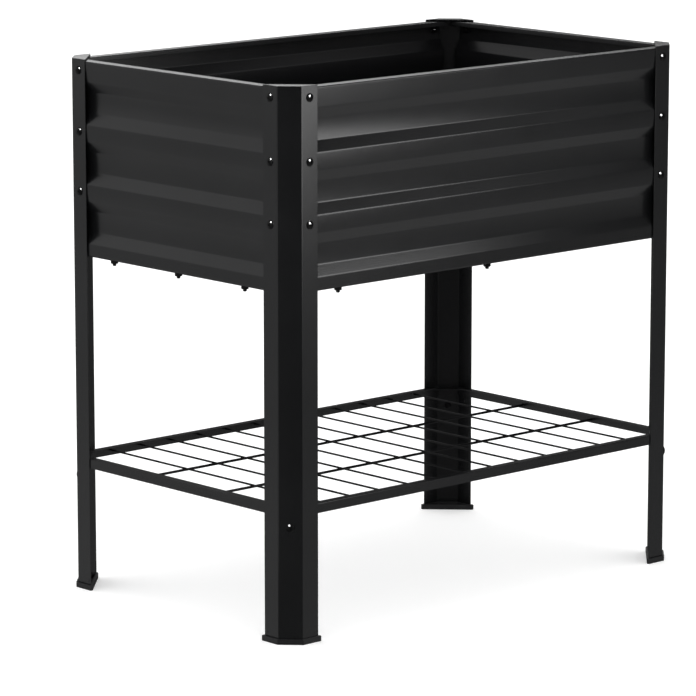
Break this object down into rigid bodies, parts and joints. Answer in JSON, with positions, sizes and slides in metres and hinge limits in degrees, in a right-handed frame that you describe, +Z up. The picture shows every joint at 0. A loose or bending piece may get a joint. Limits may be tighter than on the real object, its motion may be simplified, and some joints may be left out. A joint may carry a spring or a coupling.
{
  "type": "raised planter",
  "caption": "Rectangular corrugated metal garden planter raised on bent sheet-steel corner legs with foot caps, with a wire storage shelf between the legs.",
  "frame": {"origin": "on the floor, under the centre of the box", "axes": "+Z up, X along the long side, +Y from the front long side to the rear long side"},
  "size_m": [0.8, 0.51, 0.8],
  "materials": {
    "powder_coated_steel": "satin charcoal powder coat on sheet steel",
    "shelf_steel": "satin charcoal powder coat on rolled angle and welded wire",
    "foot_cap_plastic": "moulded black plastic, low sheen",
    "screw_steel": "glossy black plated steel"
  },
  "bodies": {
    "root": {"leg_front_left": "powder_coated_steel", "leg_front_right": "powder_coated_steel", "leg_rear_right": "powder_coated_steel", "leg_rear_left": "powder_coated_steel", "wall_front": "powder_coated_steel", "wall_right": "powder_coated_steel", "wall_rear": "powder_coated_steel", "wall_left": "powder_coated_steel", "floor_tray": "powder_coated_steel", "foot_cap_front_left": "foot_cap_plastic", "foot_cap_front_right": "foot_cap_plastic", "foot_cap_rear_right": "foot_cap_plastic", "foot_cap_rear_left": "foot_cap_plastic", "shelf_rail_front": "shelf_steel", "shelf_rail_right": "shelf_steel", "shelf_rail_rear": "shelf_steel", "shelf_rail_left": "shelf_steel", "shelf_tab_front_left": "shelf_steel", "shelf_tab_front_right": "shelf_steel", "shelf_tab_rear_right": "shelf_steel", "shelf_tab_rear_left": "shelf_steel", "shelf_grid": "shelf_steel", "screw_front_left_a1": "screw_steel", "screw_front_left_a2": "screw_steel", "screw_front_left_a3": "screw_steel", "screw_front_left_b1": "screw_steel", "screw_front_left_b2": "screw_steel", "screw_front_left_b3": "screw_steel", "screw_front_right_a1": "screw_steel", "screw_front_right_a2": "screw_steel", "screw_front_right_a3": "screw_steel", "screw_front_right_b1": "screw_steel", "screw_front_right_b2": "screw_steel", "screw_front_right_b3": "screw_steel", "screw_rear_right_a1": "screw_steel", "screw_rear_right_a2": "screw_steel", "screw_rear_right_a3": "screw_steel", "screw_rear_right_b1": "screw_steel", "screw_rear_right_b2": "screw_steel", "screw_rear_right_b3": "screw_steel", "screw_rear_left_a1": "screw_steel", "screw_rear_left_a2": "screw_steel", "screw_rear_left_a3": "screw_steel", "screw_rear_left_b1": "screw_steel", "screw_rear_left_b2": "screw_steel", "screw_rear_left_b3": "screw_steel", "shelf_screw_front_left": "screw_steel", "shelf_screw_front_right": "screw_steel", "shelf_screw_rear_right": "screw_steel", "shelf_screw_rear_left": "screw_steel", "tray_bolt_front_1": "screw_steel", "tray_bolt_front_2": "screw_steel", "tray_bolt_rear_1": "screw_steel", "tray_bolt_rear_2": "screw_steel", "tray_bolt_left_1": "screw_steel", "tray_bolt_left_2": "screw_steel", "tray_bolt_left_3": "screw_steel", "tray_bolt_right_1": "screw_steel", "tray_bolt_right_2": "screw_steel", "tray_bolt_right_3": "screw_steel"}
  },
  "joints": []
}
